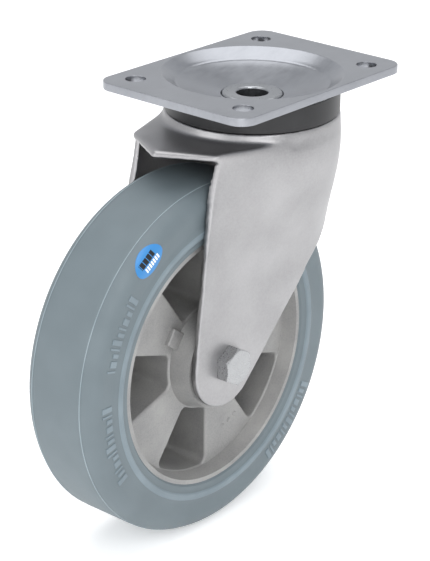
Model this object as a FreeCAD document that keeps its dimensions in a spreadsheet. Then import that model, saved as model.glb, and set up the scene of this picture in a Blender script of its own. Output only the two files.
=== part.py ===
"""Swivel castor: top plate, pressed fork on two rows of balls, and a ball-bearing wheel.

Row frame, millimetres: the origin is the swivel axis on the top plate's mounting face,
+Z points up into the gate or trolley, the axle lies along Y and the wheel trails to -X.
The right side is -Y, seen by someone who looks the way the castor travels, towards +X.
"""
import FreeCAD, Part
import math
import os
import re

import Sketcher

doc = FreeCAD.newDocument("swivel_castor")
sheet = doc.addObject("Spreadsheet::Sheet", "sizes")

# Driving sizes, in millimetres and degrees.
SIZES = {
    # overall
    "wheel_radius": 100.0,
    "total_height": 245.0,
    "trail": 55.0,
    "run_gap": 0.3,              # clear gap between bodies that turn on each other
    # top plate
    "plate_length": 138.0,
    "plate_width": 103.0,
    "plate_gauge": 4.5,
    "plate_corner": 10.0,
    "bolt_pitch_long": 105.0,
    "bolt_pitch_wide": 75.0,
    "bolt_hole_radius": 5.5,
    # dish pressed into the plate: radii and depths of its upper face
    "dish_mouth_radius": 49.5,
    "dish_shelf_radius": 43.3,
    "dish_shelf_depth": 4.4,
    "dish_step_radius": 40.6,
    "dish_step_depth": 6.8,
    "dish_floor_radius": 17.2,
    "dish_floor_depth": 12.0,
    "rivet_seat_depth": 14.2,
    # hollow kingpin rivet
    "rivet_bore": 8.6,
    "rivet_shank": 11.0,
    "rivet_head_radius": 16.7,
    "rivet_head_top": 11.2,
    "rivet_tail_radius": 15.2,
    "rivet_tail_length": 3.2,
    # swivel bearing
    "upper_row_radius": 38.0,
    "upper_ball_radius": 4.76,
    "upper_ball_depth": 16.16,
    "upper_ball_count": 24,
    "lower_row_radius": 28.0,
    "lower_ball_radius": 3.97,
    "lower_ball_depth": 27.37,
    "lower_ball_count": 20,
    "race_play": 0.08,           # groove radius over ball radius
    "race_hub_gauge": 3.5,
    "race_hub_radius": 17.6,
    "race_edge_radius": 36.0,
    "race_floor_depth": 30.6,
    # dust seal
    "seal_radius": 48.0,
    "seal_wall": 3.4,
    # fork
    "fork_gauge": 4.0,
    "ring_radius": 48.5,
    "ring_depth": 20.0,
    "crown_depth": 25.0,
    "crown_taper": 18.4,
    "crown_front": 63.0,
    "crown_nose": 16.4,
    "crown_hole_radius": 23.0,
    "skirt_depth": 45.0,
    "leg_depth": 100.0,
    "leg_blend": 12.0,
    "leg_half_gap": 28.5,
    "leg_back_centre": 14.0,
    "leg_top_front": 61.2,
    "leg_front_arc": 600.0,
    "leg_end_radius": 24.5,
    "leg_end_setback": 2.0,
    "leg_end_raise": 0.5,
    "leg_back_slope": 46.0,
    # axle
    "axle_bolt_radius": 6.0,
    "axle_hole_play": 0.1,
    "hex_flats": 19.0,
    "head_height": 7.5,
    "nut_height": 9.0,
    "nut_collar": 3.0,
    "nut_collar_radius": 8.4,
    "bolt_stickout": 2.0,
    "tube_radius": 10.0,
    "spacer_radius": 13.5,
    # deep-groove wheel bearings
    "bearing_radius": 23.5,
    "bearing_width": 14.0,
    "bearing_outset": 12.0,
    "inner_shoulder": 14.2,
    "outer_shoulder": 19.3,
    "ball_pitch_radius": 16.75,
    "ball_radius": 3.97,
    "ball_count": 8,
    "cage_half_wall": 1.5,
    "cage_front": 2.0,
    "cage_back": 5.2,
    "shield_gauge": 0.5,
    "shield_inset": 0.3,
    # wheel centre
    "rim_radius": 71.5,
    "rim_half_width": 24.0,
    "rim_lip_radius": 69.0,
    "web_radius": 66.5,
    "web_half_width": 16.0,
    "web_gauge": 4.5,
    "web_draft": 3.0,
    "web_wall": 4.0,
    "pocket_inset": 1.0,
    "pocket_outer_radius": 66.0,
    "pocket_corner": 4.0,
    "pocket_mouth_round": 1.5,
    "pocket_floor_round": 2.0,
    "pocket_count": 5,
    "pocket_turn": 0.0,          # centre angle of the first pocket, from +X towards +Z
    "hub_wall": 6.0,
    "hub_nose_wall": 3.1,
    "hub_half_length": 27.5,
    "hub_bore": 20.5,
    # tyre
    "tyre_half_width": 25.0,
    "tread_half_width": 14.3,
    "label_radius": 91.8,
    "label_angle": 126.4,
    "label_long": 10.3,
    "label_short": 6.1,
    "label_gauge": 0.2,
}
for row, (alias, value) in enumerate(SIZES.items(), start=1):
    sheet.set(f"A{row}", alias)
    sheet.set(f"B{row}", str(value))
    sheet.setAlias(f"B{row}", alias)
doc.recompute()

ALIASES = re.compile(r"\b(" + "|".join(SIZES) + r")\b")
ROLES = {"XY": "XY_Plane", "XZ": "XZ_Plane"}


def tied(text):
    """The same expression with each size name pointing at its cell."""
    return ALIASES.sub(r"sizes.\1", str(text))


def number(text):
    """The value of an expression at the sheet's present sizes."""
    value = sheet.evalExpression(tied(text))
    return float(getattr(value, "Value", value))


def bind(obj, **properties):
    """Ties properties of an object to expressions, with __ standing for a dot."""
    for name, text in properties.items():
        obj.setExpression(name.replace("__", "."), tied(text))


def new_body(label):
    body = doc.addObject("PartDesign::Body", label)
    body.Label = label
    return body


def sketch_on(body, name, plane="XZ", lift="0"):
    """An empty sketch on one of the body's origin planes, moved along its normal by lift."""
    sketch = body.newObject("Sketcher::SketchObject", name)
    origin = next(f for f in body.Origin.OriginFeatures if f.Role == ROLES[plane])
    sketch.AttachmentSupport = [(origin, "")]
    sketch.MapMode = "FlatFace"
    bind(sketch, AttachmentOffset__Base__z=lift)
    return sketch


def outline(sketch, corners, arcs=None):
    """Closed outline through corners given as pairs of expressions.

    arcs maps the number of an edge to its signed radius: a positive one bulges to the
    right of the way the edge runs, which is outwards when the outline runs anticlockwise.
    """
    arcs = arcs or {}
    points = [FreeCAD.Vector(number(across), number(up), 0) for across, up in corners]
    first = sketch.GeometryCount
    for i, start in enumerate(points):
        end = points[(i + 1) % len(points)]
        if i in arcs:
            sketch.addGeometry(bulged(start, end, number(arcs[i])), False)
        else:
            sketch.addGeometry(Part.LineSegment(start, end), False)
    for i, (across, up) in enumerate(corners):
        edge = first + i
        at = start_of(sketch, edge, points[i])
        pin(sketch, "DistanceX", edge, at, across)
        pin(sketch, "DistanceY", edge, at, up)
        before = first + (i - 1) % len(points)
        its_end = start_of(sketch, before, points[i])
        sketch.addConstraint(Sketcher.Constraint("Coincident", before, its_end, edge, at))
    for i, radius in arcs.items():
        index = sketch.addConstraint(
            Sketcher.Constraint("Radius", first + i, abs(number(radius))))
        sketch.setExpression(f"Constraints[{index}]", tied(f"abs({radius})"))


def bulged(start, end, radius):
    """The arc from start to end that bulges to the right for a positive radius."""
    chord = end - start
    half = chord.Length / 2
    across = FreeCAD.Vector(chord.y, -chord.x, 0).normalize()
    sagitta = abs(radius) - math.sqrt(max(radius ** 2 - half ** 2, 0.0))
    middle = (start + end) / 2 + across * math.copysign(sagitta, radius)
    return Part.Arc(start, middle, end)


def start_of(sketch, edge, point):
    """1 or 2: the end of an edge that lies at the point."""
    near = [(sketch.getPoint(edge, which) - point).Length for which in (1, 2)]
    return 1 if near[0] <= near[1] else 2


def pin(sketch, kind, edge, at, text):
    """Fixes one coordinate of an edge's end to an expression."""
    index = sketch.addConstraint(Sketcher.Constraint(kind, -1, 1, edge, at, number(text)))
    sketch.setExpression(f"Constraints[{index}]", tied(text))


def rounded(body, name, radius, wanted):
    """Rounds the edges of the body's last feature for which wanted(points) is true."""
    last = body.Tip
    names = []
    for i, edge in enumerate(last.Shape.Edges, start=1):
        points = [vertex.Point for vertex in edge.Vertexes]
        points.append(edge.valueAt(sum(edge.ParameterRange) / 2))
        if wanted(points):
            names.append(f"Edge{i}")
    made = body.newObject("PartDesign::Fillet", name)
    made.Base = (last, names)
    bind(made, Radius=radius)
    doc.recompute()
    return made


def ring_of(sketch, radius, across="0", up="0"):
    """A full circle in a sketch."""
    centre = FreeCAD.Vector(number(across), number(up), 0)
    edge = sketch.addGeometry(Part.Circle(centre, FreeCAD.Vector(0, 0, 1), number(radius)))
    for kind, text in (("DistanceX", across), ("DistanceY", up)):
        pin(sketch, kind, edge, 3, text)
    index = sketch.addConstraint(Sketcher.Constraint("Radius", edge, number(radius)))
    sketch.setExpression(f"Constraints[{index}]", tied(radius))


def feature(body, kind, name, profile, **settings):
    """A PartDesign feature on a sketch."""
    made = body.newObject(f"PartDesign::{kind}", name)
    made.Profile = profile
    for key, value in settings.items():
        setattr(made, key, value)
    profile.Visibility = False
    doc.recompute()
    return made


def turned(label, corners, arcs=None):
    """A body turned about Z: corners are (radius, height)."""
    body = new_body(label)
    section = sketch_on(body, f"{label}_section")
    outline(section, corners, arcs)
    feature(body, "Revolution", f"{label}_turned", section,
            ReferenceAxis=(section, ["V_Axis"]), Angle=360.0)
    return body


def turned_on_axle(label, corners, arcs=None, placed=True):
    """A body turned about the wheel's axle: corners are (y, radius) from the axle's middle."""
    body = new_body(label)
    section = body.newObject("Sketcher::SketchObject", f"{label}_section")
    plane = next(f for f in body.Origin.OriginFeatures if f.Role == "YZ_Plane")
    section.AttachmentSupport = [(plane, "")]
    section.MapMode = "FlatFace"
    outline(section, corners, arcs)
    feature(body, "Revolution", f"{label}_turned", section,
            ReferenceAxis=(section, ["H_Axis"]), Angle=360.0)
    if placed:
        put_on_axle(body)
    return body


def put_on_axle(obj):
    """Moves an object that is modelled about the origin to the wheel's axle."""
    bind(obj, Placement__Base__x="-trail", Placement__Base__z="wheel_radius - total_height")


def groove_circle(body, label, row_radius, depth, radius):
    """Cuts a ball track of round section into a body that turns about Z."""
    track = sketch_on(body, f"{label}_track")
    ring_of(track, radius, row_radius, f"-({depth})")
    feature(body, "Groove", f"{label}_groove", track,
            ReferenceAxis=(track, ["V_Axis"]), Angle=360.0)


def ball_ring(label, count, radius, place):
    """A ring of separate balls; place(i) gives the expressions of one ball's centre."""
    balls = []
    for i in range(int(number(count))):
        ball = doc.addObject("Part::Sphere", f"{label}_{i}")
        along, across, up = place(i)
        bind(ball, Radius=radius, Placement__Base__x=along, Placement__Base__y=across,
             Placement__Base__z=up)
        balls.append(ball)
    group = doc.addObject("Part::Compound", label)
    group.Label = label
    group.Links = balls
    return group


# ---------------------------------------------------------------- top plate
# Pressed steel plate with a round dish; the dish's underside is the upper ball track.
UNDER_SHELF = "dish_shelf_radius + 0.57 * plate_gauge"
UNDER_SHELF_DEPTH = "dish_shelf_depth + 0.82 * plate_gauge"
UNDER_STEP = "dish_step_radius + 0.55 * plate_gauge"
UNDER_STEP_DEPTH = "dish_step_depth + plate_gauge"
SLOPE_RUN = "(dish_mouth_radius - dish_shelf_radius) / dish_shelf_depth"
UNDER_MOUTH = f"{UNDER_SHELF} + ({UNDER_SHELF_DEPTH} - plate_gauge) * {SLOPE_RUN}"
SEAT_UNDERSIDE = "(rivet_seat_depth + plate_gauge - 0.5)"

top_plate = new_body("top_plate")
blank = sketch_on(top_plate, "plate_blank", "XY")
half_x = "plate_length / 2"
half_y = "plate_width / 2"
outline(blank, [
    (f"-{half_x} + plate_corner", f"-{half_y}"),
    (f"{half_x} - plate_corner", f"-{half_y}"),
    (half_x, f"-{half_y} + plate_corner"),
    (half_x, f"{half_y} - plate_corner"),
    (f"{half_x} - plate_corner", half_y),
    (f"-{half_x} + plate_corner", half_y),
    (f"-{half_x}", f"{half_y} - plate_corner"),
    (f"-{half_x}", f"-{half_y} + plate_corner"),
], {1: "plate_corner", 3: "plate_corner", 5: "plate_corner", 7: "plate_corner"})
ring_of(blank, "dish_mouth_radius + 0.5")
pressed = feature(top_plate, "Pad", "plate_sheet", blank, Reversed=True)
bind(pressed, Length="plate_gauge")
dish = sketch_on(top_plate, "dish_section")
outline(dish, [
    ("dish_mouth_radius + 1.2", "-plate_gauge"),
    ("dish_mouth_radius + 1.2", "0"),
    ("dish_mouth_radius", "0"),
    ("dish_shelf_radius", "-dish_shelf_depth"),
    ("dish_step_radius", "-dish_step_depth"),
    ("dish_floor_radius", "-dish_floor_depth"),
    ("rivet_head_radius", "-rivet_seat_depth"),
    ("rivet_shank", "-rivet_seat_depth"),
    ("rivet_shank", f"-{SEAT_UNDERSIDE}"),
    ("dish_floor_radius + 1.5", f"-{SEAT_UNDERSIDE}"),
    (UNDER_STEP, f"-({UNDER_STEP_DEPTH})"),
    (UNDER_SHELF, f"-({UNDER_SHELF_DEPTH})"),
    (UNDER_MOUTH, "-plate_gauge"),
])
feature(top_plate, "Revolution", "dish_pressed", dish,
        ReferenceAxis=(dish, ["V_Axis"]), Angle=360.0)
bolt_holes = sketch_on(top_plate, "bolt_hole_sketch", "XY")
for x_side in (-1, 1):
    for y_side in (-1, 1):
        ring_of(bolt_holes, "bolt_hole_radius",
                f"{x_side} * bolt_pitch_long / 2", f"{y_side} * bolt_pitch_wide / 2")
feature(top_plate, "Pocket", "bolt_holes", bolt_holes, Type="ThroughAll", Midplane=True)
groove_circle(top_plate, "plate", "upper_row_radius", "upper_ball_depth",
              "upper_ball_radius + race_play")

# ---------------------------------------------------------------- kingpin
# Hollow steel rivet that holds the plate and the lower race together through the crown.
RACE_HUB_UNDERSIDE = f"({SEAT_UNDERSIDE} + race_hub_gauge)"
kingpin = turned("kingpin", [
    ("rivet_bore", f"-{RACE_HUB_UNDERSIDE} - rivet_tail_length"),
    ("rivet_tail_radius - 1", f"-{RACE_HUB_UNDERSIDE} - rivet_tail_length"),
    ("rivet_tail_radius", f"-{RACE_HUB_UNDERSIDE} - rivet_tail_length + 1"),
    ("rivet_tail_radius", f"-{RACE_HUB_UNDERSIDE}"),
    ("rivet_shank", f"-{RACE_HUB_UNDERSIDE}"),
    ("rivet_shank", "-rivet_seat_depth"),
    ("rivet_head_radius", "-rivet_seat_depth"),
    ("rivet_head_radius", "-rivet_head_top - 0.8"),
    ("rivet_head_radius - 0.8", "-rivet_head_top"),
    ("rivet_bore + 0.8", "-rivet_head_top"),
    ("rivet_bore", "-rivet_head_top - 0.8"),
])

# ---------------------------------------------------------------- lower race
# Pressed cup under the crown; its floor carries the lower row of balls.
lower_race = turned("lower_race", [
    ("rivet_shank", f"-{RACE_HUB_UNDERSIDE}"),
    ("race_hub_radius - 2.2", f"-{RACE_HUB_UNDERSIDE}"),
    ("race_hub_radius - 0.8", "-race_floor_depth - race_hub_gauge + 2"),
    ("race_hub_radius + 1.4", "-race_floor_depth - race_hub_gauge"),
    ("race_edge_radius - 0.6", "-race_floor_depth - race_hub_gauge"),
    ("race_edge_radius + 1.8", "-race_floor_depth - race_hub_gauge + 2.6"),
    ("race_edge_radius + 1.8", "-race_floor_depth + 2.2"),
    ("race_edge_radius - 0.8", "-race_floor_depth + 2.2"),
    ("race_edge_radius - 2.6", "-race_floor_depth"),
    ("race_hub_radius + 4.6", "-race_floor_depth"),
    ("race_hub_radius + 2.8", "-race_floor_depth + 2"),
    ("race_hub_radius + 0.6", f"-{SEAT_UNDERSIDE}"),
    ("rivet_shank", f"-{SEAT_UNDERSIDE}"),
])
groove_circle(lower_race, "cup", "lower_row_radius", "lower_ball_depth",
              "lower_ball_radius + race_play")

# ---------------------------------------------------------------- dust seal
# Black plastic ring clipped under the plate; it closes the upper ball row.
SLOPE = "dish_shelf_depth / (dish_mouth_radius - dish_shelf_radius)"
SEAL_TOP = f"(plate_gauge + ({UNDER_MOUTH} - seal_radius) * {SLOPE})"
STEP_SLOPE = (f"(({UNDER_STEP_DEPTH}) - ({UNDER_SHELF_DEPTH}))"
              f" / (({UNDER_SHELF}) - ({UNDER_STEP}))")
INNER_DROP = f"({UNDER_SHELF} - seal_radius + seal_wall) * {STEP_SLOPE}"
dust_seal = turned("dust_seal", [
    ("seal_radius - seal_wall", "-ring_depth + run_gap + 1"),
    ("seal_radius - seal_wall + 1", "-ring_depth + run_gap"),
    ("seal_radius", "-ring_depth + run_gap"),
    ("seal_radius", f"-{SEAL_TOP}"),
    (UNDER_SHELF, f"-({UNDER_SHELF_DEPTH})"),
    ("seal_radius - seal_wall", f"-({UNDER_SHELF_DEPTH}) - {INNER_DROP}"),
])

# ---------------------------------------------------------------- swivel balls


def on_ring(count, radius, depth):
    """Places ball i of a ring about the swivel axis."""
    return lambda i: (f"{radius} * cos({i} * 360 / {count})",
                      f"{radius} * sin({i} * 360 / {count})", f"-{depth}")


upper_balls = ball_ring("upper_balls", "upper_ball_count", "upper_ball_radius",
                        on_ring("upper_ball_count", "upper_row_radius", "upper_ball_depth"))
lower_balls = ball_ring("lower_balls", "lower_ball_count", "lower_ball_radius",
                        on_ring("lower_ball_count", "lower_row_radius", "lower_ball_depth"))

# ---------------------------------------------------------------- fork
# One steel pressing: a flat crown with a raised bearing ring, a skirt round the back and
# two legs that narrow to flat ears at the axle. The front is open for the wheel.
LEG_OUTSIDE = "(leg_half_gap + fork_gauge)"


def fork_section(name, depth, radius, centre, taper, front):
    """One level of the fork: a round back, straight sides that meet it tangentially, and a
    blunt pointed front."""
    level = sketch_on(fork, name, "XY", f"-({depth})")
    tangent_x = f"({centre} - ({radius}) * sin({taper}))"
    tangent_y = f"(({radius}) * cos({taper}))"
    corner_y = f"({tangent_y} - ({tangent_x} + {front}) * tan({taper}))"
    corners = [
        (tangent_x, f"-{tangent_y}"),
        (tangent_x, tangent_y),
        (f"-({front})", corner_y),
        (f"-({front}) - crown_nose", "0"),
        (f"-({front})", f"-{corner_y}"),
    ]
    outline(level, corners)
    swap_back(level, centre, radius)
    return level


def swap_back(level, centre, radius):
    """Replaces the straight back, edge 0, by the arc about the given centre."""
    start = level.getPoint(0, 1)
    end = level.getPoint(0, 2)
    far = FreeCAD.Vector(number(centre) + number(radius), 0, 0)
    arc = level.addGeometry(Part.Arc(start, far, end), False)
    low, high = (1, 2) if (level.getPoint(arc, 1) - start).Length < 1e-6 else (2, 1)
    level.addConstraint(Sketcher.Constraint("Coincident", arc, low, 0, 1))
    level.addConstraint(Sketcher.Constraint("Coincident", arc, high, 0, 2))
    pin(level, "DistanceX", arc, 3, centre)
    level.toggleConstruction(0)


fork = new_body("fork")
FLAT_FROM = "(leg_depth + leg_blend)"
LEVELS = [
    # name, depth, back radius, back centre, side taper
    ("crown", "crown_depth", "ring_radius", "0", "crown_taper"),
    ("skirt", "skirt_depth", "ring_radius", "0", "crown_taper"),
    ("leg", "leg_depth", LEG_OUTSIDE, "leg_back_centre", "0"),
    ("shin", FLAT_FROM, LEG_OUTSIDE, "leg_back_centre", "0"),
]
FRONTS = ["crown_front", "crown_front + 12", "wheel_radius + 5", "wheel_radius + 5"]
FLAT_LENGTH = f"total_height - wheel_radius + 40 - ({FLAT_FROM})"
outer_levels = [
    fork_section(f"outer_{name}", depth, radius, centre, taper, front)
    for (name, depth, radius, centre, taper), front in zip(LEVELS, FRONTS)]
feature(fork, "AdditiveLoft", "outer_form", outer_levels[0], Sections=outer_levels[1:])
outer_flat = feature(fork, "Pad", "outer_legs", fork_section(
    "outer_flat", FLAT_FROM, LEG_OUTSIDE, "leg_back_centre", "0", "wheel_radius + 5"),
    Reversed=True)
bind(outer_flat, Length=FLAT_LENGTH)
boss = sketch_on(fork, "ring_sketch", "XY", "-ring_depth")
ring_of(boss, "ring_radius")
ring_pad = feature(fork, "Pad", "bearing_ring", boss, Reversed=True)
bind(ring_pad, Length="crown_depth - ring_depth + fork_gauge")
inner_levels = [
    fork_section(f"inner_{name}", depth if name != "crown" else "crown_depth + fork_gauge",
                 f"{radius} - fork_gauge", centre, taper, "wheel_radius + 60"
                 if name not in ("crown", "skirt") else "crown_front + 40")
    for name, depth, radius, centre, taper in LEVELS]
feature(fork, "SubtractiveLoft", "inner_form", inner_levels[0], Sections=inner_levels[1:])
inner_flat = feature(fork, "Pocket", "inner_legs", fork_section(
    "inner_flat", FLAT_FROM, "leg_half_gap", "leg_back_centre", "0", "wheel_radius + 60"))
bind(inner_flat, Length=f"{FLAT_LENGTH} + 5")
recess = sketch_on(fork, "ring_recess_sketch", "XY", "-ring_depth - fork_gauge")
ring_of(recess, "ring_radius - fork_gauge")
ring_cut = feature(fork, "Pocket", "ring_recess", recess)
bind(ring_cut, Length="crown_depth - ring_depth + 2")

# Side view of the fork: all that lies outside this outline is trimmed away.
AXLE_DEPTH = "(total_height - wheel_radius)"
END_X = "(trail + leg_end_setback)"
END_Z = f"({AXLE_DEPTH} - leg_end_raise)"
REACH = "(ring_radius + 20)"
BACK_X = f"(-{END_X} + leg_end_radius * sin(leg_back_slope))"
BACK_Z = f"(-{END_Z} - leg_end_radius * cos(leg_back_slope))"
side_view = sketch_on(fork, "side_view")
outline(side_view, [
    ("-wheel_radius * 2.5", "-total_height"),
    ("wheel_radius", "-total_height"),
    ("wheel_radius", "-ring_depth + 15"),
    ("-wheel_radius * 2.5", "-ring_depth + 15"),
])
outline(side_view, [
    ("-crown_front - 40", "-ring_depth + 5"),
    ("-crown_front - 40", "-crown_depth - fork_gauge"),
    ("-leg_top_front", "-crown_depth - fork_gauge"),
    (f"-{END_X} - leg_end_radius", f"-{END_Z}"),
    (BACK_X, BACK_Z),
    (REACH, f"{BACK_Z} + ({REACH} - {BACK_X}) * tan(leg_back_slope)"),
    (REACH, "-ring_depth + 5"),
], {2: "leg_front_arc", 3: "leg_end_radius"})
feature(fork, "Pocket", "side_trim", side_view, Type="ThroughAll", Midplane=True)

crown_hole = sketch_on(fork, "crown_hole_sketch", "XY")
ring_of(crown_hole, "crown_hole_radius")
crown_bore = feature(fork, "Pocket", "crown_hole", crown_hole)
bind(crown_bore, Length="crown_depth + 10")
groove_circle(fork, "upper", "upper_row_radius", "upper_ball_depth",
              "upper_ball_radius + race_play")
groove_circle(fork, "lower", "lower_row_radius", "lower_ball_depth",
              "lower_ball_radius + race_play")
axle_holes = sketch_on(fork, "axle_hole_sketch")
ring_of(axle_holes, "axle_bolt_radius + axle_hole_play", "-trail", f"-{AXLE_DEPTH}")
feature(fork, "Pocket", "axle_holes", axle_holes, Type="ThroughAll", Midplane=True)

# ---------------------------------------------------------------- axle
# An M12 bolt and lock nut clamp the legs on a steel tube; nothing in this group turns.


def hexagon(sketch, flats):
    """A hexagon whose corners point up and down."""
    outline(sketch, [(f"{flats} / sqrt(3) * cos({60 * i + 30})",
                      f"{flats} / sqrt(3) * sin({60 * i + 30})") for i in range(6)])


def cut_turned(body, name, corners):
    """Turns away a section, given as (y, radius) about the axle."""
    section = body.newObject("Sketcher::SketchObject", f"{name}_section")
    plane = next(f for f in body.Origin.OriginFeatures if f.Role == "YZ_Plane")
    section.AttachmentSupport = [(plane, "")]
    section.MapMode = "FlatFace"
    outline(section, corners)
    feature(body, "Groove", name, section, ReferenceAxis=(section, ["H_Axis"]), Angle=360.0)


HEX_CORNER = "hex_flats / sqrt(3)"
NUT_END = f"({LEG_OUTSIDE} + nut_height + nut_collar)"
axle_bolt = turned_on_axle("axle_bolt", [
    (f"-{LEG_OUTSIDE} - 1", "0"),
    (f"{NUT_END} + bolt_stickout", "0"),
    (f"{NUT_END} + bolt_stickout", "axle_bolt_radius - 1"),
    (f"{NUT_END} + bolt_stickout - 1", "axle_bolt_radius"),
    (f"-{LEG_OUTSIDE} - 1", "axle_bolt_radius"),
])
head = sketch_on(axle_bolt, "bolt_head_sketch", lift=LEG_OUTSIDE)
hexagon(head, "hex_flats")
bolt_head = feature(axle_bolt, "Pad", "bolt_head", head)
bind(bolt_head, Length="head_height")
cut_turned(axle_bolt, "head_chamfer", [
    (f"-{LEG_OUTSIDE} - head_height - 1", "hex_flats / 2 - 0.2 - 1.7"),
    (f"-{LEG_OUTSIDE} - head_height + 1.4", f"{HEX_CORNER} + 0.5"),
    (f"-{LEG_OUTSIDE} - head_height - 1", f"{HEX_CORNER} + 0.5"),
])

axle_nut = new_body("axle_nut")
nut_sketch = sketch_on(axle_nut, "nut_sketch", lift=f"-{LEG_OUTSIDE}")
hexagon(nut_sketch, "hex_flats")
ring_of(nut_sketch, "axle_bolt_radius")
nut_hex = feature(axle_nut, "Pad", "nut_hex", nut_sketch, Reversed=True)
bind(nut_hex, Length="nut_height")
INSERT_RADIUS = "(axle_bolt_radius + 1.3)"
collar_sketch = sketch_on(axle_nut, "nut_collar_sketch",
                          lift=f"-{LEG_OUTSIDE} - nut_height + 0.5")
ring_of(collar_sketch, "nut_collar_radius")
ring_of(collar_sketch, INSERT_RADIUS)
nut_ring = feature(axle_nut, "Pad", "nut_ring", collar_sketch, Reversed=True)
bind(nut_ring, Length="nut_collar + 0.5")
cut_turned(axle_nut, "nut_chamfer", [
    (f"{LEG_OUTSIDE} + nut_height - 1.4", f"{HEX_CORNER} + 0.5"),
    (f"{LEG_OUTSIDE} + nut_height + 0.1", "hex_flats / 2 - 0.4"),
    (f"{LEG_OUTSIDE} + nut_height + 0.1", f"{HEX_CORNER} + 0.5"),
])
put_on_axle(axle_nut)

nut_insert = turned_on_axle("nut_insert", [
    (f"{LEG_OUTSIDE} + nut_height", "axle_bolt_radius"),
    (f"{NUT_END} - 0.5", "axle_bolt_radius"),
    (f"{NUT_END} - 0.5", INSERT_RADIUS),
    (f"{LEG_OUTSIDE} + nut_height", INSERT_RADIUS),
])

axle_tube = turned_on_axle("axle_tube", [
    ("-leg_half_gap", "axle_bolt_radius + axle_hole_play"),
    ("leg_half_gap", "axle_bolt_radius + axle_hole_play"),
    ("leg_half_gap", "tube_radius"),
    ("-leg_half_gap", "tube_radius"),
])

# ---------------------------------------------------------------- wheel bearings
# Two deep-groove ball bearings on the tube. The outer races turn with the wheel, the
# balls and their cage roll at the middle speed and the inner races stand still.
BEARING_END = "(bearing_outset + bearing_width)"
BEARING_MIDDLE = "(bearing_outset + bearing_width / 2)"


def axle_ring(label, side, near, far, inner, outer):
    """A plain ring between two distances from the middle of the axle, on one side."""
    low, high = (near, far) if side > 0 else (f"-({far})", f"-({near})")
    return turned_on_axle(label, [(low, inner), (high, inner), (high, outer), (low, outer)])


def cut_ball_track(race, side):
    track = race.newObject("Sketcher::SketchObject", f"{race.Label}_track")
    plane = next(f for f in race.Origin.OriginFeatures if f.Role == "YZ_Plane")
    track.AttachmentSupport = [(plane, "")]
    track.MapMode = "FlatFace"
    ring_of(track, "ball_radius + race_play", f"{side} * {BEARING_MIDDLE}", "ball_pitch_radius")
    feature(race, "Groove", f"{race.Label}_groove", track,
            ReferenceAxis=(track, ["H_Axis"]), Angle=360.0)


def bearing_ball(radius, side):
    """Places ball i of a wheel bearing about the axle."""
    return lambda i: (f"{radius} * cos({i} * 360 / ball_count)", f"{side} * {BEARING_MIDDLE}",
                      f"{radius} * sin({i} * 360 / ball_count)")


def cage_seats(name, side):
    """The round pockets of a cage, each bored towards the axle."""
    bores = []
    for i in range(int(number("ball_count"))):
        bore = doc.addObject("Part::Cylinder", f"cage_seat_{name}_{i}")
        bore.Placement.Rotation = FreeCAD.Rotation(FreeCAD.Vector(0, 1, 0), 1)
        turn = f"{i} * 360 / ball_count"
        bind(bore, Radius="ball_radius + race_play", Height="2 * ball_pitch_radius",
             Placement__Rotation__Angle=f"90 - {turn}",
             Placement__Base__x=f"tube_radius * cos({turn})",
             Placement__Base__y=f"{side} * {BEARING_MIDDLE}",
             Placement__Base__z=f"tube_radius * sin({turn})")
        bores.append(bore)
    group = doc.addObject("Part::MultiFuse", f"cage_seats_{name}")
    group.Shapes = bores
    put_on_axle(group)
    return group


bearing_parts = []
for side, name in ((-1, "right"), (1, "left")):
    inner_race = axle_ring(f"inner_race_{name}", side, "bearing_outset", BEARING_END,
                           "tube_radius", "inner_shoulder")
    cut_ball_track(inner_race, side)
    outer_race = axle_ring(f"outer_race_{name}", side, "bearing_outset", BEARING_END,
                           "outer_shoulder", "bearing_radius")
    cut_ball_track(outer_race, side)
    balls = ball_ring(f"bearing_balls_{name}", "ball_count", "ball_radius",
                      bearing_ball("ball_pitch_radius", side))
    put_on_axle(balls)
    cage_ring = axle_ring(f"cage_ring_{name}", side, f"{BEARING_MIDDLE} - cage_front",
                          f"{BEARING_MIDDLE} + cage_back",
                          "ball_pitch_radius - cage_half_wall",
                          "ball_pitch_radius + cage_half_wall")
    seats = cage_seats(name, side)
    cage = doc.addObject("Part::Cut", f"cage_{name}")
    cage.Label = f"cage_{name}"
    cage.Base = cage_ring
    cage.Tool = seats
    shield = axle_ring(f"bearing_shield_{name}", side,
                       f"{BEARING_END} - shield_inset - shield_gauge",
                       f"{BEARING_END} - shield_inset", "inner_shoulder + 0.5",
                       "outer_shoulder")
    spacer = axle_ring(f"axle_spacer_{name}", side, BEARING_END, "leg_half_gap",
                       "tube_radius", "spacer_radius")
    bearing_parts += [inner_race, outer_race, balls, cage, shield, spacer]

# ---------------------------------------------------------------- wheel centre
# Die-cast aluminium. The web steps from the right face to the left one and back, five
# times round, so it shows five open pockets on each side. The hub is a wall round the
# bearings, and the pockets start just outside it.
HUB = "(bearing_radius + hub_wall)"
HUB_NOSE = "(bearing_radius + hub_nose_wall)"
POCKET_INNER = f"({HUB} + pocket_inset)"
rim = turned_on_axle("rim", [
    ("-hub_half_length", "bearing_radius"),
    ("-bearing_outset", "bearing_radius"),
    ("-bearing_outset", "hub_bore"),
    ("bearing_outset", "hub_bore"),
    ("bearing_outset", "bearing_radius"),
    ("hub_half_length", "bearing_radius"),
    ("hub_half_length", HUB_NOSE),
    ("web_half_width", HUB),
    ("web_half_width", "web_radius"),
    ("rim_half_width", "rim_lip_radius"),
    ("rim_half_width", "rim_radius"),
    ("-rim_half_width", "rim_radius"),
    ("-rim_half_width", "rim_lip_radius"),
    ("-web_half_width", "web_radius"),
    ("-web_half_width", HUB),
    ("-hub_half_length", HUB_NOSE),
])


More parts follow.
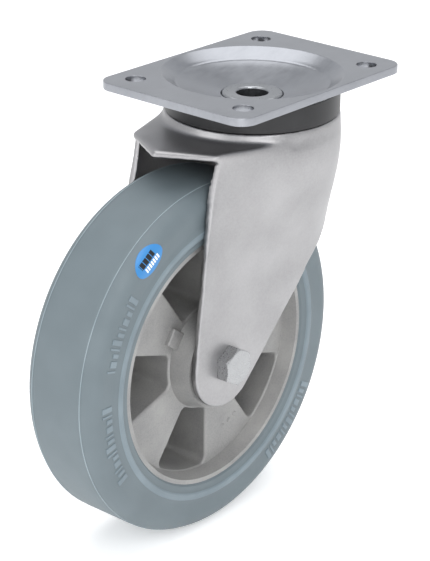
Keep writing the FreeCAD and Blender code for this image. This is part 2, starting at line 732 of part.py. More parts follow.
def pocket_outline(sketch, turn, wall):
    """One pocket of the web: a sector with round corners, its sides set in by wall."""
    reach = f"({wall} + pocket_corner)"
    half = "(180 / pocket_count / 2)"
    outer_run = f"sqrt((pocket_outer_radius - pocket_corner)^2 - {reach}^2)"
    inner_run = f"sqrt(({POCKET_INNER} + pocket_corner)^2 - {reach}^2)"
    outer_lean = f"asin({reach} / (pocket_outer_radius - pocket_corner)) / 1 deg"
    inner_lean = f"asin({reach} / ({POCKET_INNER} + pocket_corner)) / 1 deg"
    low = f"({turn} - {half})"
    high = f"({turn} + {half})"

    def on_low(run):
        return (f"{run} * cos{low} - {wall} * sin{low}", f"{run} * sin{low} + {wall} * cos{low}")

    def on_high(run):
        return (f"{run} * cos{high} + {wall} * sin{high}",
                f"{run} * sin{high} - {wall} * cos{high}")

    def on_circle(radius, angle):
        return (f"{radius} * cos({angle})", f"{radius} * sin({angle})")

    outline(sketch, [
        on_low(inner_run),
        on_low(outer_run),
        on_circle("pocket_outer_radius", f"{low} + {outer_lean}"),
        on_circle("pocket_outer_radius", f"{high} - {outer_lean}"),
        on_high(outer_run),
        on_high(inner_run),
        on_circle(POCKET_INNER, f"{high} - {inner_lean}"),
        on_circle(POCKET_INNER, f"{low} + {inner_lean}"),
    ], {1: "pocket_corner", 2: "pocket_outer_radius", 3: "pocket_corner",
        5: "pocket_corner", 6: f"-{POCKET_INNER}", 7: "pocket_corner"})


POCKET_STEP = "(360 / pocket_count / 2)"
for side, name, turn, wall in ((1, "right", f"(pocket_turn + {POCKET_STEP})", "0"),
                               (-1, "left", "pocket_turn", "web_wall")):
    sector = sketch_on(rim, f"pocket_sketch_{name}", lift=f"{side} * web_half_width")
    pocket_outline(sector, turn, wall)
    pocket = feature(rim, "Pocket", f"pocket_{name}", sector, Reversed=side < 0)
    bind(pocket, Length="2 * web_half_width - web_gauge", TaperAngle="-web_draft")
    doc.recompute()
    ring_of_pockets = rim.newObject("PartDesign::PolarPattern", f"pockets_{name}")
    ring_of_pockets.Originals = [pocket]
    ring_of_pockets.Axis = (sector, ["N_Axis"])
    ring_of_pockets.Angle = 360.0
    bind(ring_of_pockets, Occurrences="pocket_count")
    rim.Tip = ring_of_pockets
    doc.recompute()



def in_pockets(level):
    """Edges of the pockets that lie a given distance from the wheel's middle plane."""
    def wanted(points):
        middle = math.hypot(points[-1].x, points[-1].z)
        inside = number(HUB) + 0.5 < middle < number("web_radius") - 0.2
        return inside and all(abs(abs(point.y) - number(level)) < 1e-4 for point in points)
    return wanted


rounded(rim, "pocket_mouths", "pocket_mouth_round", in_pockets("web_half_width"))
rounded(rim, "pocket_floors", "pocket_floor_round",
        in_pockets("web_half_width - web_gauge"))

# ---------------------------------------------------------------- tyre
# Elastic rubber cured onto the rim, with a flat tread and quarter-round shoulders.
SHOULDER = "(tyre_half_width - tread_half_width)"
tyre = turned_on_axle("tyre", [
    ("-rim_half_width", "rim_radius"),
    ("rim_half_width", "rim_radius"),
    ("tyre_half_width", "rim_radius + 1"),
    ("tyre_half_width", f"wheel_radius - {SHOULDER}"),
    ("tread_half_width", "wheel_radius"),
    ("-tread_half_width", "wheel_radius"),
    ("-tyre_half_width", f"wheel_radius - {SHOULDER}"),
    ("-tyre_half_width", "rim_radius + 1"),
], {3: SHOULDER, 5: SHOULDER})

# Blue oval sticker on the right flank. It is cut from a thin film that follows the tyre.
film = turned_on_axle("film", [
    ("-tyre_half_width", "rim_radius + 2"),
    ("-tyre_half_width", f"wheel_radius - {SHOULDER}"),
    ("-tread_half_width", "wheel_radius"),
    ("-tread_half_width", "wheel_radius + label_gauge"),
    ("-tyre_half_width - label_gauge", f"wheel_radius - {SHOULDER}"),
    ("-tyre_half_width - label_gauge", "rim_radius + 2"),
], {1: f"-{SHOULDER}", 3: f"{SHOULDER} + label_gauge"}, placed=False)
oval = doc.addObject("Part::Ellipse", "oval")
bind(oval, MajorRadius="label_long", MinorRadius="label_short",
     Placement__Base__x="label_radius")
oval.Placement.Rotation = FreeCAD.Rotation(
    FreeCAD.Vector(0, 0, 1), FreeCAD.Vector(-1, 0, 0), FreeCAD.Vector(0, -1, 0), "XYZ")
punch = doc.addObject("Part::Extrusion", "punch")
punch.Base = oval
punch.DirMode = "Custom"
punch.Dir = FreeCAD.Vector(0, -1, 0)
punch.Solid = True
bind(punch, LengthFwd="tyre_half_width + 10")
sticker = doc.addObject("Part::Common", "sticker")
sticker.Label = "sticker"
sticker.Base = film
sticker.Tool = punch
sticker.Placement.Rotation = FreeCAD.Rotation(FreeCAD.Vector(0, -1, 0), 1)
bind(sticker, Placement__Rotation__Angle="label_angle")
put_on_axle(sticker)

# ---------------------------------------------------------------- checks and export
doc.recompute()
NODES = [top_plate, kingpin, lower_race, dust_seal, upper_balls, lower_balls, fork,
         axle_bolt, axle_nut, nut_insert, axle_tube, *bearing_parts, rim, tyre, sticker]
for obj in doc.Objects:
    if "Invalid" in obj.State or "Error" in obj.State:
        raise RuntimeError(f"{obj.Label} did not build: {obj.State}")
for obj in NODES:
    if obj.Shape.isNull() or not obj.Shape.isValid():
        raise RuntimeError(f"{obj.Label} is not a valid shape")
os.makedirs("parts", exist_ok=True)
for obj in NODES:
    obj.Shape.exportStep(f"parts/{obj.Label}.step")
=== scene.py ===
"""Top-plate swivel castor with a rubber-tyred wheel: its looks, light and camera."""
import math

import bmesh
import bpy
from mathutils import Matrix, Vector


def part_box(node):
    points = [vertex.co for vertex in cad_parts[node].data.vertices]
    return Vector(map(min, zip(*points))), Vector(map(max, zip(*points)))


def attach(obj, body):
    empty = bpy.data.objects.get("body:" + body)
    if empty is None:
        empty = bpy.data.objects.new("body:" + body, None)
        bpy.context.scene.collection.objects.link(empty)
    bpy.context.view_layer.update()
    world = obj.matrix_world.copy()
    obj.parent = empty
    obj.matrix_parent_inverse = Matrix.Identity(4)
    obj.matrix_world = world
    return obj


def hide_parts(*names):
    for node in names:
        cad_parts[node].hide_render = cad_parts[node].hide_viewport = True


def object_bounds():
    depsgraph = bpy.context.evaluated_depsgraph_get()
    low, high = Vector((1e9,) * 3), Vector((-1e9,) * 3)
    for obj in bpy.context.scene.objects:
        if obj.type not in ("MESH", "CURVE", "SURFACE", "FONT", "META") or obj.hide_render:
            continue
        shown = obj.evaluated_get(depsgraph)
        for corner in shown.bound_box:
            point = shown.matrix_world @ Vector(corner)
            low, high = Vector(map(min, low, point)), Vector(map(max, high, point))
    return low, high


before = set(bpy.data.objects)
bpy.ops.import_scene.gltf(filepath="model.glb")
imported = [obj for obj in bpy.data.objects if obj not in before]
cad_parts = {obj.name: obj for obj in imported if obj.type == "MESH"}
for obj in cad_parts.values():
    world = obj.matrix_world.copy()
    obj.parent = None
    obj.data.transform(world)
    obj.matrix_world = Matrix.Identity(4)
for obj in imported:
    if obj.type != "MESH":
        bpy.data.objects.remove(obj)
cad_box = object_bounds()
MM = 0.001

# ---------------------------------------------------------------- camera
# A long lens looks down on the plate from the wheel's side, with the right leg in front.
# Directions are degrees; the shift only centres the castor in the picture.
AIM = Vector((-27, 0, -120)) * MM
AZIMUTH, ELEVATION, ROLL = (math.radians(a) for a in (-49.57, 23.08, 0.68))
DISTANCE = 1.1165
LENS = 129.2
SHIFT = (-0.0046, 0.0171)

camera = bpy.data.objects.new("camera", bpy.data.cameras.new("camera"))
bpy.context.scene.collection.objects.link(camera)
bpy.context.scene.camera = camera
camera.data.lens = LENS
camera.data.shift_x, camera.data.shift_y = SHIFT
camera.data.clip_start, camera.data.clip_end = 0.05, 20
back = Vector((math.sin(AZIMUTH) * math.cos(ELEVATION),
               -math.cos(AZIMUTH) * math.cos(ELEVATION), math.sin(ELEVATION)))
camera.rotation_mode = "QUATERNION"
camera.rotation_quaternion = ((-back).to_track_quat("-Z", "Y").to_matrix()
                              @ Matrix.Rotation(ROLL, 3, "Z")).to_quaternion()
camera.location = AIM + back * DISTANCE

# ---------------------------------------------------------------- light
# Four softboxes round the castor in a pale, even surround: soft shadows, broad highlights.
# Each is a square area light, given as its place, its side in metres and its power in watts.
SOFTBOXES = {
    "key": ((-0.6, -1.0, 0.9), 0.7, 6),
    "fill": ((-1.3, 0.3, 0.45), 0.8, 4),
    "overhead": ((0.1, 0.1, 1.3), 1.7, 18),
    "front": ((-1.0, -0.9, 0.25), 0.8, 3),
}
for name, (place, side, power) in SOFTBOXES.items():
    data = bpy.data.lights.new(name, "AREA")
    data.shape = "SQUARE"
    data.size = side
    data.energy = power
    lamp = bpy.data.objects.new(name, data)
    bpy.context.scene.collection.objects.link(lamp)
    lamp.location = place
    lamp.rotation_mode = "QUATERNION"
    lamp.rotation_quaternion = (AIM - Vector(place)).to_track_quat("-Z", "Y")

bpy.context.scene.view_settings.view_transform = "Standard"


# ---------------------------------------------------------------- floor
# A sweep of white paper under the wheel, just clear of the tread.
# Paper is matt, so it throws back light and shows no reflection of the castor.
def linear(hex_colour):
    """The linear RGBA of an sRGB hex colour."""
    parts = [int(hex_colour[i:i + 2], 16) / 255 for i in (1, 3, 5)]
    return [c / 12.92 if c <= 0.04045 else ((c + 0.055) / 1.055) ** 2.4 for c in parts] + [1]


def add(tree, kind, inputs=None, **settings):
    """A node with its settings, and inputs given as values or as sockets to link from."""
    node = tree.nodes.new(kind)
    for key, value in settings.items():
        setattr(node, key, value)
    for key, value in (inputs or {}).items():
        if isinstance(value, bpy.types.NodeSocket):
            tree.links.new(value, node.inputs[key])
        else:
            node.inputs[key].default_value = value
    return node


def new_material(name, **shader):
    """A material with its node tree and its shader node, whose sockets are set by name."""
    material = bpy.data.materials.new(name)
    material.use_nodes = True
    bsdf = material.node_tree.nodes["Principled BSDF"]
    for key, value in shader.items():
        bsdf.inputs[key.replace("_", " ")].default_value = value
    return material, material.node_tree, bsdf


def ramp(tree, factor, stops):
    """A colour ramp through (position, hex colour) stops."""
    node = add(tree, "ShaderNodeValToRGB", {"Fac": factor})
    while len(node.color_ramp.elements) < len(stops):
        node.color_ramp.elements.new(0.5)
    for element, (position, colour) in zip(node.color_ramp.elements, stops):
        element.position = position
        element.color = linear(colour)
    return node.outputs["Color"]


def put_in_scene(work, name, finish, smooth_to=30):
    """Turns a bmesh into an object; edges sharper than smooth_to degrees stay crisp."""
    mesh = bpy.data.meshes.new(name)
    work.to_mesh(mesh)
    work.free()
    mesh.shade_smooth()
    mesh.set_sharp_from_angle(angle=math.radians(smooth_to))
    mesh.materials.append(finish)
    piece = bpy.data.objects.new(name, mesh)
    bpy.context.scene.collection.objects.link(piece)
    return piece


FLOOR_HALF = 3.0
FLOOR_GAP = 0.2 * MM
FLOOR_GLOW = 0.30
paper, _, paper_bsdf = new_material("white seamless paper", Roughness=1.0)
paper_bsdf.inputs["Base Color"].default_value = linear("#fbfbfb")
paper_bsdf.inputs["Specular IOR Level"].default_value = 0.0
paper_bsdf.inputs["Emission Color"].default_value = linear("#ffffff")
paper_bsdf.inputs["Emission Strength"].default_value = FLOOR_GLOW
sweep = bmesh.new()
bmesh.ops.create_grid(sweep, x_segments=1, y_segments=1, size=FLOOR_HALF)
bmesh.ops.translate(sweep, verts=sweep.verts, vec=(0, 0, cad_box[0].z - FLOOR_GAP))
put_in_scene(sweep, "floor", paper)


# ---------------------------------------------------------------- surround
# The studio's walls and ceiling: white up to a man's height, then greyer towards the top.
# The stops are the sine of the height above the horizon.
world = bpy.data.worlds.new("studio")
bpy.context.scene.world = world
world.use_nodes = True
sky = world.node_tree
ways = add(sky, "ShaderNodeSeparateXYZ",
           {"Vector": add(sky, "ShaderNodeTexCoord").outputs["Generated"]})
sky.links.new(ramp(sky, ways.outputs["Z"],
                   [(0.0, "#f0f1f3"), (0.45, "#e9ebee"), (0.7, "#9d9fa2"), (1.0, "#9d9fa2")]),
              sky.nodes["Background"].inputs["Color"])


# ---------------------------------------------------------------- top plate
# The mounting plate: steel sheet blanked with four bolt holes and pressed into a dish that
# holds the upper ball race, then zinc plated. Blanking leaves its edges slightly rounded.
METAL_CLOUD = 28                 # millimetres across the broad clouds in a metal's tone
RELIEF_STRENGTH = 0.6


def grained_metal(name, dark, light, grain_mm, rough, relief_mm, drawn=(1, 1, 1),
                  metallic=1.0):
    """Metal with a fine grain. One noise at grain_mm drives its tone, gloss and relief, and
    a broad one clouds the skin; drawn stretches the grain along the way it was worked."""
    material, tree, bsdf = new_material(name, Metallic=metallic)
    place = add(tree, "ShaderNodeTexCoord").outputs["Object"]
    worked = add(tree, "ShaderNodeMapping", {"Vector": place, "Scale": drawn})
    fine = add(tree, "ShaderNodeTexNoise",
               {"Vector": worked.outputs["Vector"], "Scale": 1 / (grain_mm * MM),
                "Detail": 4.0, "Roughness": 0.6})
    broad = add(tree, "ShaderNodeTexNoise",
                {"Vector": place, "Scale": 1 / (METAL_CLOUD * MM), "Detail": 3.0})
    mixed = add(tree, "ShaderNodeMix", {"Factor": 0.5, "A": fine.outputs["Fac"],
                                        "B": broad.outputs["Fac"]})
    tree.links.new(ramp(tree, mixed.outputs["Result"], [(0.34, dark), (0.66, light)]),
                   bsdf.inputs["Base Color"])
    gloss = add(tree, "ShaderNodeMapRange",
                {"Value": fine.outputs["Fac"], "From Min": 0.3, "From Max": 0.7,
                 "To Min": rough[0], "To Max": rough[1]})
    tree.links.new(gloss.outputs["Result"], bsdf.inputs["Roughness"])
    relief = add(tree, "ShaderNodeBump", {"Height": fine.outputs["Fac"],
                                          "Strength": RELIEF_STRENGTH,
                                          "Distance": relief_mm * MM})
    tree.links.new(relief.outputs["Normal"], bsdf.inputs["Normal"])
    return material


def cad_copy(node):
    """A CAD node's faces as a bmesh, with the doubled corners merged."""
    work = bmesh.new()
    work.from_mesh(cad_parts[node].data)
    bmesh.ops.remove_doubles(work, verts=work.verts, dist=0.001 * MM)
    return work


FLAT = math.radians(0.5)         # faces that turn by less than this are joined


def ease_edges(work, width_mm, sharp=35, segments=2):
    """Rounds every edge that turns by more than sharp degrees, after joining flat faces."""
    bmesh.ops.dissolve_limit(work, angle_limit=FLAT, verts=work.verts, edges=work.edges)
    edges = [e for e in work.edges
             if e.is_manifold and e.calc_face_angle() > math.radians(sharp)]
    bmesh.ops.bevel(work, geom=edges, offset=width_mm * MM, offset_type="OFFSET",
                    affect="EDGES", segments=segments, profile=0.5, material=-1,
                    clamp_overlap=True)


def keep_flat(piece):
    """Shades the broad faces flat, so that only the rounded edges catch the light."""
    weighted = piece.modifiers.new("flat faces", "WEIGHTED_NORMAL")
    weighted.keep_sharp = True


# Zinc over rolled steel: a cool satin grey, with the sheet's faint grain along its length.
plate_zinc = grained_metal("zinc-plated rolled steel", "#94969b", "#a0a2a7", 3.0,
                           (0.28, 0.34), 0.002, drawn=(0.35, 1, 1))
PLATE_EDGE = 0.7
# radii where the dish's upper face turns: its mouth, its shelf and the step inside
MOUTH_R, SHELF_R, STEP_R = 49.5, 43.3, 40.6
RADIUS_SLACK = 0.25
BEND_ROLLS = ((MOUTH_R, 2.6), (SHELF_R, 0.8), (STEP_R, 0.5))
BENT = 0.1                       # radians; a flatter edge isn't a bend
DISH_TOP = -8.5                  # all of that face down to its cone lies above this
RIDGE_RISE = 0.9                 # the press leaves the step standing as a low crisp ridge
plate = cad_copy("top_plate")


def in_dish(edge, radius):
    """Whether an edge runs round the dish's upper face at this radius."""
    return all(abs(v.co.xy.length / MM - radius) < RADIUS_SLACK
               and v.co.z / MM > DISH_TOP for v in edge.verts)


flat_part = [e for e in plate.edges
             if max(v.co.xy.length for v in e.verts) / MM > MOUTH_R - RADIUS_SLACK]
bmesh.ops.dissolve_limit(plate, angle_limit=FLAT, verts=[], edges=flat_part)
step = {v for e in plate.edges if in_dish(e, STEP_R) for v in e.verts}
bmesh.ops.translate(plate, verts=list(step), vec=(0, 0, RIDGE_RISE * MM))
for radius, roll in BEND_ROLLS:
    bend = [e for e in plate.edges if e.is_manifold and e.calc_face_angle() > BENT
            and in_dish(e, radius)]
    bmesh.ops.bevel(plate, geom=bend, offset=roll * MM, offset_type="OFFSET",
                    affect="EDGES", segments=4, profile=0.5, material=-1,
                    clamp_overlap=True)
ease_edges(plate, PLATE_EDGE)
plate = put_in_scene(plate, "mounting_plate", plate_zinc)
keep_flat(plate)
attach(plate, "plate")
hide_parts("top_plate")

# ---------------------------------------------------------------- kingpin
# The rivet at the middle of the dish. Its head is upset cold over the plate, so it is a
# little brighter and smoother than the sheet, with rounded rims.
rivet_zinc = grained_metal("zinc-plated upset rivet steel", "#8e9093", "#a4a6a9", 1.0,
                           (0.26, 0.36), 0.008)
RIVET_EDGE = 0.5
rivet = cad_copy("kingpin")
ease_edges(rivet, RIVET_EDGE)
rivet = put_in_scene(rivet, "kingpin_rivet", rivet_zinc)
keep_flat(rivet)
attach(rivet, "plate")
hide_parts("kingpin")

# ---------------------------------------------------------------- lower race
# The turned cup under the fork that carries the lower row of balls. It is pressed steel
# with its zinc left as plated, and sits in the dark between the legs.
race_zinc = grained_metal("zinc-plated race steel", "#85878b", "#a2a4a8", 1.2,
                          (0.32, 0.44), 0.010)


def finish_node(node, finish):
    """Gives a CAD node that stays visible its finish."""
    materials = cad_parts[node].data.materials
    materials.clear()
    materials.append(finish)


finish_node("lower_race", race_zinc)


# ---------------------------------------------------------------- dust seal
# A ring of black polyethylene clipped under the plate, closing the upper ball row.
# Injection moulding gives it a fine matt grain and one softened lower rim.
PLASTIC_CLOUD = 22               # millimetres across the clouds in a moulding's tone


def moulded(name, dark, light, grain_mm, roughness, relief_mm):
    """Rubber or plastic: a soft cloudy colour under a fine moulded grain."""
    material, tree, bsdf = new_material(name, Roughness=roughness)
    place = add(tree, "ShaderNodeTexCoord").outputs["Object"]
    fine = add(tree, "ShaderNodeTexNoise", {"Vector": place, "Scale": 1 / (grain_mm * MM),
                                            "Detail": 3.0})
    broad = add(tree, "ShaderNodeTexNoise", {"Vector": place, "Scale": 1 / (PLASTIC_CLOUD * MM),
                                             "Detail": 2.0})
    tree.links.new(ramp(tree, broad.outputs["Fac"], [(0.35, dark), (0.65, light)]),
                   bsdf.inputs["Base Color"])
    relief = add(tree, "ShaderNodeBump", {"Height": fine.outputs["Fac"],
                                          "Strength": RELIEF_STRENGTH,
                                          "Distance": relief_mm * MM})
    tree.links.new(relief.outputs["Normal"], bsdf.inputs["Normal"])
    return material


seal_black = moulded("black moulded polyethylene", "#161618", "#202022", 0.7, 0.42, 0.03)
SEAL_EDGE = 0.4
seal = cad_copy("dust_seal")
ease_edges(seal, SEAL_EDGE)
seal = put_in_scene(seal, "dust_seal_ring", seal_black)
keep_flat(seal)
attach(seal, "plate")
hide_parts("dust_seal")

# ---------------------------------------------------------------- swivel balls
# Two rows of hardened balls, ground and lapped bright, with a film of grease on them.
# Only a glint of them shows through the gap under the seal.
ball_steel = grained_metal("lapped bearing steel", "#a9a9ab", "#c6c6c8", 0.6, (0.10, 0.20),
                           0.002)
for name in ("upper_balls", "lower_balls"):
    finish_node(name, ball_steel)

# ---------------------------------------------------------------- fork
# One steel pressing: a flat crown with a raised bearing ring, a skirt round the back and a
# leg each side. The sheet folds on a soft radius, and the press leaves two small dents.
# Zinc over a blasted pressing: pale satin, with a fine even speckle and no direction.
fork_zinc = grained_metal("zinc-plated blasted steel", "#9d9c9d", "#b0afb0", 1.1,
                          (0.36, 0.48), 0.020)
SKIN = 0.98                      # size of the cells that the skin is rebuilt from
SKIN_PASSES = 3
FOLD_LINE = -25.0                # height of the crown's upper face
FOLD_REACH = 4.5                 # the sheet rounds over within this of the fold line
FOLD_PASSES = 12
# centre, radius and depth of each dent beside the bearing ring
DENTS = [((-18, -45.5, -25), 6, 1.6), ((-18, 45.5, -25), 6, 1.6)]


def relax(work, verts, passes):
    """Draws each vert half way to the middle of its neighbours, this many times."""
    for _ in range(passes):
        bmesh.ops.smooth_vert(work, verts=verts, factor=0.5, use_axis_x=True,
                              use_axis_y=True, use_axis_z=True)


pressing = put_in_scene(cad_copy("fork"), "fork_pressing", fork_zinc)
reskin = pressing.modifiers.new("skin", "REMESH")
reskin.mode = "VOXEL"
reskin.voxel_size = SKIN * MM
view = bpy.context.evaluated_depsgraph_get()
skinned = bpy.data.meshes.new_from_object(pressing.evaluated_get(view))
pressing.modifiers.clear()
work = bmesh.new()
work.from_mesh(skinned)
bpy.data.meshes.remove(skinned)
relax(work, work.verts, SKIN_PASSES)
relax(work, [v for v in work.verts if abs(v.co.z / MM - FOLD_LINE) < FOLD_REACH],
      FOLD_PASSES)
for centre, radius, depth in DENTS:
    for vert in work.verts:
        away = (vert.co / MM - Vector(centre)).length / radius
        if away < 1:
            vert.co.z -= depth * MM * (1 - away * away) ** 2
work.to_mesh(pressing.data)
work.free()
pressing.data.shade_smooth()
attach(pressing, "fork")
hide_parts("fork")

# ---------------------------------------------------------------- axle bolt and nut
# An M12 bolt with its lock nut and spacers, zinc plated bright. The head's corners are
# eased by forging, and the thread's end stands out of the nut on the left.
bolt_zinc = grained_metal("bright zinc-plated bolt steel", "#9b9c9e", "#acadae", 0.9,
                          (0.24, 0.34), 0.003)
HEX_EDGE = 0.35
for node, name in (("axle_bolt", "hex_bolt"), ("axle_nut", "lock_nut")):
    work = cad_copy(node)
    ease_edges(work, HEX_EDGE)
    piece = put_in_scene(work, name, bolt_zinc)
    keep_flat(piece)
    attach(piece, "fork")
    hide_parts(node)
for name in ("axle_tube", "axle_spacer_left", "axle_spacer_right"):
    finish_node(name, bolt_zinc)

# White polyamide: the ring in the nut that grips the thread, slightly waxy.
insert_white = moulded("white polyamide", "#dfe2e6", "#eceef0", 0.6, 0.38, 0.02)
finish_node("nut_insert", insert_white)

# The rolled thread that shows past the nut: one ridge of a V section, wound round the end.
SHANK, PITCH = 6.0, 1.75         # the bolt's radius and its thread's pitch
ROOT_DEPTH, CREST = 0.35, 0.45   # the ridge's foot is under the shank, its crest above that
RIDGE_HALF = 0.55
THREAD_TURNS, TURN_STEPS = 1.5, 24
THREAD_START = 3.9               # from the bolt's end
bolt_low, bolt_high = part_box("axle_bolt")
axle = Vector(((bolt_low.x + bolt_high.x) / 2, 0, (bolt_low.z + bolt_high.z) / 2))
thread = bmesh.new()
first = Vector((axle.x, bolt_high.y - THREAD_START * MM, axle.z))
section = [thread.verts.new(first + Vector((0, along, SHANK - ROOT_DEPTH + out)) * MM)
           for along, out in ((-RIDGE_HALF, 0), (0, CREST), (RIDGE_HALF, 0))]
bmesh.ops.spin(thread, geom=[thread.faces.new(section)], cent=axle, axis=(0, 1, 0),
               angle=math.tau * THREAD_TURNS, steps=int(TURN_STEPS * THREAD_TURNS),
               dvec=(0, PITCH * MM / TURN_STEPS, 0))
bmesh.ops.recalc_face_normals(thread, faces=thread.faces)
thread = put_in_scene(thread, "bolt_thread", bolt_zinc)
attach(thread, "fork")

# ---------------------------------------------------------------- wheel bearings
# A sealed deep-groove bearing each side of the hub: ground steel rings, lapped balls, a
# moulded cage and a pressed shield. They show only as rings round the axle.
ring_steel = grained_metal("ground bearing steel", "#a4a4a6", "#bebec0", 0.7, (0.16, 0.24),
                           0.004)
cage_grey = moulded("glass-filled polyamide", "#4a4a4c", "#58585a", 0.5, 0.5, 0.02)
for side in ("left", "right"):
    for part, finish in (("inner_race", ring_steel), ("outer_race", ring_steel),
                         ("bearing_balls", ball_steel), ("cage", cage_grey),
                         ("bearing_shield", ring_steel)):
        finish_node(f"{part}_{side}", finish)

# ---------------------------------------------------------------- wheel centre
# Gravity-cast aluminium: a hub and a rim joined by a web with pockets on both sides. The
# skin is tumbled and has an oxide film, so it is pale, pebbled and nearly matt.
cast = grained_metal("tumbled cast aluminium", "#939393", "#b7b6b4", 0.9, (0.60, 0.80),
                     0.09, metallic=0.8)
finish_node("rim", cast)
rim_low, rim_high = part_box("rim")
wheel_middle = (rim_low + rim_high) / 2


def on_wheel(work, turn_deg, verts=None):
    """Turns what is modelled above the axle by turn_deg from +X towards +Z, and moves it
    from the origin to the wheel."""
    verts = verts or list(work.verts)
    bmesh.ops.rotate(work, verts=verts, cent=(0, 0, 0),
                     matrix=Matrix.Rotation(math.radians(90 - turn_deg), 3, "Y"))
    bmesh.ops.translate(work, verts=verts, vec=wheel_middle)


# A cast lug by the hub and a row of small dots, left by the mould, stand on the web's face.
# Turns here and on the tyre are degrees from +X towards +Z.
WEB_FACE = 16.0
LUG = (10.0, 5.0, 11.0)          # across the radius, through the web's face, along it
LUG_EDGE = 0.8
LUG_R, LUG_TURN = 32.0, 145.0
DOT_R, DOT_TURNS, DOT_SIZE = 51.0, (-73, -67, -61), 1.5
DOT_FLATNESS = 0.4
marks = bmesh.new()
bmesh.ops.create_cube(marks, size=1)
bmesh.ops.scale(marks, verts=marks.verts, vec=Vector(LUG) * MM)
bmesh.ops.bevel(marks, geom=list(marks.edges), offset=LUG_EDGE * MM, offset_type="OFFSET",
                affect="EDGES", segments=3, profile=0.5, material=-1)
bmesh.ops.translate(marks, verts=marks.verts, vec=Vector((0, -WEB_FACE, LUG_R)) * MM)
on_wheel(marks, LUG_TURN)
for turn in DOT_TURNS:
    dot = bmesh.ops.create_icosphere(marks, subdivisions=2, radius=DOT_SIZE * MM)["verts"]
    bmesh.ops.scale(marks, verts=dot, vec=(1, DOT_FLATNESS, 1))
    bmesh.ops.translate(marks, verts=dot, vec=Vector((0, -WEB_FACE, DOT_R)) * MM)
    on_wheel(marks, turn, dot)
marks = put_in_scene(marks, "cast_marks", cast)
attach(marks, "wheel")

# ---------------------------------------------------------------- tyre
# Grey elastic rubber cured onto the rim. The mould leaves a raised bead ring next to the
# rim and a fine parting line at each shoulder.
rubber = moulded("grey elastic rubber", "#646f74", "#687378", 0.8, 0.55, 0.05)
tyre_low, tyre_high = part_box("tyre")
WHEEL_R = (tyre_high.x - tyre_low.x) / 2 / MM
HALF_WIDTH = tyre_high.y / MM
TREAD_HALF = 14.3
SHOULDER = HALF_WIDTH - TREAD_HALF
RIM_R = 71.5
RIM_LIP = 1.0                    # the rubber starts this far inside the flank at the rim
BEAD_IN, BEAD_OUT, BEAD_UP = 74.8, 82.4, 1.2     # the bead ring's radii and its height
BEAD_SLOPE_IN, BEAD_SLOPE_OUT, BEAD_ROLL = 2.4, 2.8, 1.1
TYRE_STEPS = 160


def wheel_ring(corners, rounds):
    """A closed ring about the wheel's axle. Corners are (y, radius) in millimetres, and
    rounds gives the corners that are rounded, with their size and number of segments."""
    ring = bmesh.new()
    verts = [ring.verts.new(wheel_middle + Vector((0, y, r)) * MM) for y, r in corners]
    ring.faces.new(verts)
    for picked, size, segments in rounds:
        bmesh.ops.bevel(ring, geom=[verts[i] for i in picked], offset=size * MM,
                        offset_type="OFFSET", affect="VERTICES", segments=segments,
                        profile=0.5, material=-1)
    outline = list(ring.edges)
    bmesh.ops.delete(ring, geom=list(ring.faces), context="FACES_ONLY")
    bmesh.ops.spin(ring, geom=outline, cent=wheel_middle, axis=(0, 1, 0), angle=math.tau,
                   steps=TYRE_STEPS, use_merge=True)
    bmesh.ops.remove_doubles(ring, verts=ring.verts, dist=0.001 * MM)
    bmesh.ops.recalc_face_normals(ring, faces=ring.faces)
    return ring


half = [(HALF_WIDTH - RIM_LIP, RIM_R), (HALF_WIDTH, RIM_R + RIM_LIP),
        (HALF_WIDTH, BEAD_IN), (HALF_WIDTH + BEAD_UP, BEAD_IN + BEAD_SLOPE_IN),
        (HALF_WIDTH + BEAD_UP, BEAD_OUT - BEAD_SLOPE_OUT), (HALF_WIDTH, BEAD_OUT),
        (HALF_WIDTH, WHEEL_R)]
bead_corners, tread_corner = [2, 3, 4, 5], 6
whole = half + [(-y, r) for y, r in reversed(half)]
last = len(whole) - 1
rounds = [([tread_corner, last - tread_corner], SHOULDER, 14),
          (bead_corners + [last - i for i in bead_corners], BEAD_ROLL, 4)]
tyre = put_in_scene(wheel_ring(whole, rounds), "rubber_tyre", rubber)
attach(tyre, "wheel")
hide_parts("tyre")


def on_both_sides(ring):
    """Adds a ring's mirror image on the wheel's other side."""
    bmesh.ops.mirror(ring, geom=ring.verts[:] + ring.edges[:] + ring.faces[:], axis="Y",
                     merge_dist=0)
    bmesh.ops.recalc_face_normals(ring, faces=ring.faces)
    return ring


# The mould's parting line runs round each shoulder, where tread and flank meet. Its pale colour
# is partly wear that has rubbed it and partly a painted highlight, the light that the raised
# line catches.
scuffed_and_highlit = moulded("grey rubber, rubbed pale, with painted highlight", "#87949a", "#939fa5", 0.8, 0.5, 0.04)
LINE_TURN = math.radians(15)     # how far round the shoulder from the tread
LINE = 0.25                      # half the line's width
line_at = TREAD_HALF + SHOULDER * math.sin(LINE_TURN)
line_r = WHEEL_R - SHOULDER * (1 - math.cos(LINE_TURN))
seam = wheel_ring([(-line_at - LINE, line_r - LINE), (-line_at + LINE, line_r - LINE),
                   (-line_at + LINE, line_r + LINE), (-line_at - LINE, line_r + LINE)], [])
seam = put_in_scene(on_both_sides(seam), "parting_line", scuffed_and_highlit)
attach(seam, "wheel")
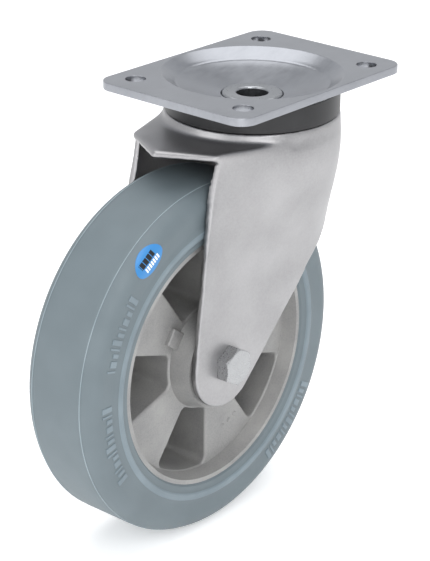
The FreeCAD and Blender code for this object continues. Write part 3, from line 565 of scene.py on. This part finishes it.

# A thin band of rubber tops the bead ring on both flanks. It stands highest, and its paler
# rubber is a painted highlight, the light band that the ring's rounded top catches.
relief = moulded("grey rubber, paler for a painted highlight", "#6f7c83", "#7a878e", 0.8, 0.5, 0.04)
BAND_IN, BAND_OUT = BEAD_IN + 1.0, BEAD_OUT - 1.8
BAND_UP, BAND_SUNK = 0.15, 1.0
BAND_SLOPE, BAND_ROLL = 0.8, 0.6
band_top = HALF_WIDTH + BEAD_UP + BAND_UP
band_foot = HALF_WIDTH + BEAD_UP - BAND_SUNK
band = wheel_ring([(-band_foot, BAND_IN), (-band_top, BAND_IN + BAND_SLOPE),
                   (-band_top, BAND_OUT - BAND_SLOPE), (-band_foot, BAND_OUT)],
                  [([1, 2], BAND_ROLL, 3)])
band = put_in_scene(on_both_sides(band), "bead_ridge", relief)
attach(band, "wheel")

# Raised strokes of rubber on the right flank, cut into the mould, stand where a maker
# would put words. They are plain blocks of uneven width and height that spell nothing.
FLANK_R = 84.0
STROKE_SUNK, STROKE_UP = 0.6, 0.4                # in the flank, and proud of it
STROKE_EDGE = 0.2
GROUPS = ((139, 165), (178, 211), (300, 331))
# width in degrees and height in millimetres of each stroke, in turn
STROKES = ((2.0, 7.0), (0.8, 7.0), (1.6, 4.0), (2.4, 4.5), (0.8, 6.0), (1.5, 5.0))
STROKE_GAP = 1.0
strokes = bmesh.new()
for start, stop in GROUPS:
    turn, count = start, 0
    while turn < stop:
        wide, tall = STROKES[count % len(STROKES)]
        stroke = bmesh.ops.create_cube(strokes, size=1)["verts"]
        size = Vector((math.radians(wide) * FLANK_R, STROKE_SUNK + STROKE_UP, tall))
        middle = Vector((0, -HALF_WIDTH - (STROKE_UP - STROKE_SUNK) / 2, FLANK_R + tall / 2))
        bmesh.ops.scale(strokes, verts=stroke, vec=size * MM)
        bmesh.ops.translate(strokes, verts=stroke, vec=middle * MM)
        on_wheel(strokes, turn + wide / 2, stroke)
        turn += wide + STROKE_GAP
        count += 1
bmesh.ops.bevel(strokes, geom=list(strokes.edges), offset=STROKE_EDGE * MM,
                offset_type="OFFSET", affect="EDGES", segments=2, profile=0.5, material=-1)
# The strokes take the same paler rubber as the band, a painted highlight on their raised faces.
strokes = put_in_scene(strokes, "flank_strokes", relief)
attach(strokes, "wheel")

# ---------------------------------------------------------------- sticker
# A blue printed film label, glossy, stuck to the right flank. In place of words it has a
# row of dark bars on its outer half and a row of white bars on its inner half.
LABEL_R, LABEL_TURN = 91.8, 126.4
# for each row: colour, ends along the label, edges across it, a bar with its gap, a bar
PRINT = (("#101418", (-6.5, 5.0), (0.2, 3.4), 2.9, 2.5),
         ("#eef3f7", (-5.0, 6.5), (-3.4, -0.5), 1.7, 1.1))
film, film_tree, film_bsdf = new_material("blue printed film", Roughness=0.3)
label_middle = wheel_middle + Matrix.Rotation(math.radians(90 - LABEL_TURN), 3, "Y") @ (
    Vector((0, 0, LABEL_R)) * MM)
# The mapping puts the label's middle at the origin, its length on X and the radius on Z.
on_label = add(film_tree, "ShaderNodeMapping",
               {"Vector": add(film_tree, "ShaderNodeTexCoord").outputs["Object"],
                "Location": label_middle,
                "Rotation": (0, math.radians(90 - LABEL_TURN), 0)}, vector_type="TEXTURE")
label = add(film_tree, "ShaderNodeSeparateXYZ", {"Vector": on_label.outputs["Vector"]})
colour = add(film_tree, "ShaderNodeRGB")
colour.outputs["Color"].default_value = linear("#3680bd")
colour = colour.outputs["Color"]
for ink, (left, right), (low, high), pitch, inked in PRINT:
    tests = [("X", "GREATER_THAN", left), ("X", "LESS_THAN", right),
             ("Z", "GREATER_THAN", low), ("Z", "LESS_THAN", high)]
    mask = add(film_tree, "ShaderNodeMath", {0: label.outputs["X"], 1: pitch * MM},
               operation="FLOORED_MODULO").outputs["Value"]
    mask = add(film_tree, "ShaderNodeMath", {0: mask, 1: inked * MM},
               operation="LESS_THAN").outputs["Value"]
    for axis, test, limit in tests:
        inside = add(film_tree, "ShaderNodeMath", {0: label.outputs[axis], 1: limit * MM},
                     operation=test).outputs["Value"]
        mask = add(film_tree, "ShaderNodeMath", {0: mask, 1: inside},
                   operation="MULTIPLY").outputs["Value"]
    printed = add(film_tree, "ShaderNodeMix", data_type="RGBA")
    film_tree.links.new(mask, printed.inputs["Factor"])
    film_tree.links.new(colour, printed.inputs["A"])
    printed.inputs["B"].default_value = linear(ink)
    colour = printed.outputs["Result"]
film_tree.links.new(colour, film_bsdf.inputs["Base Color"])
finish_node("sticker", film)
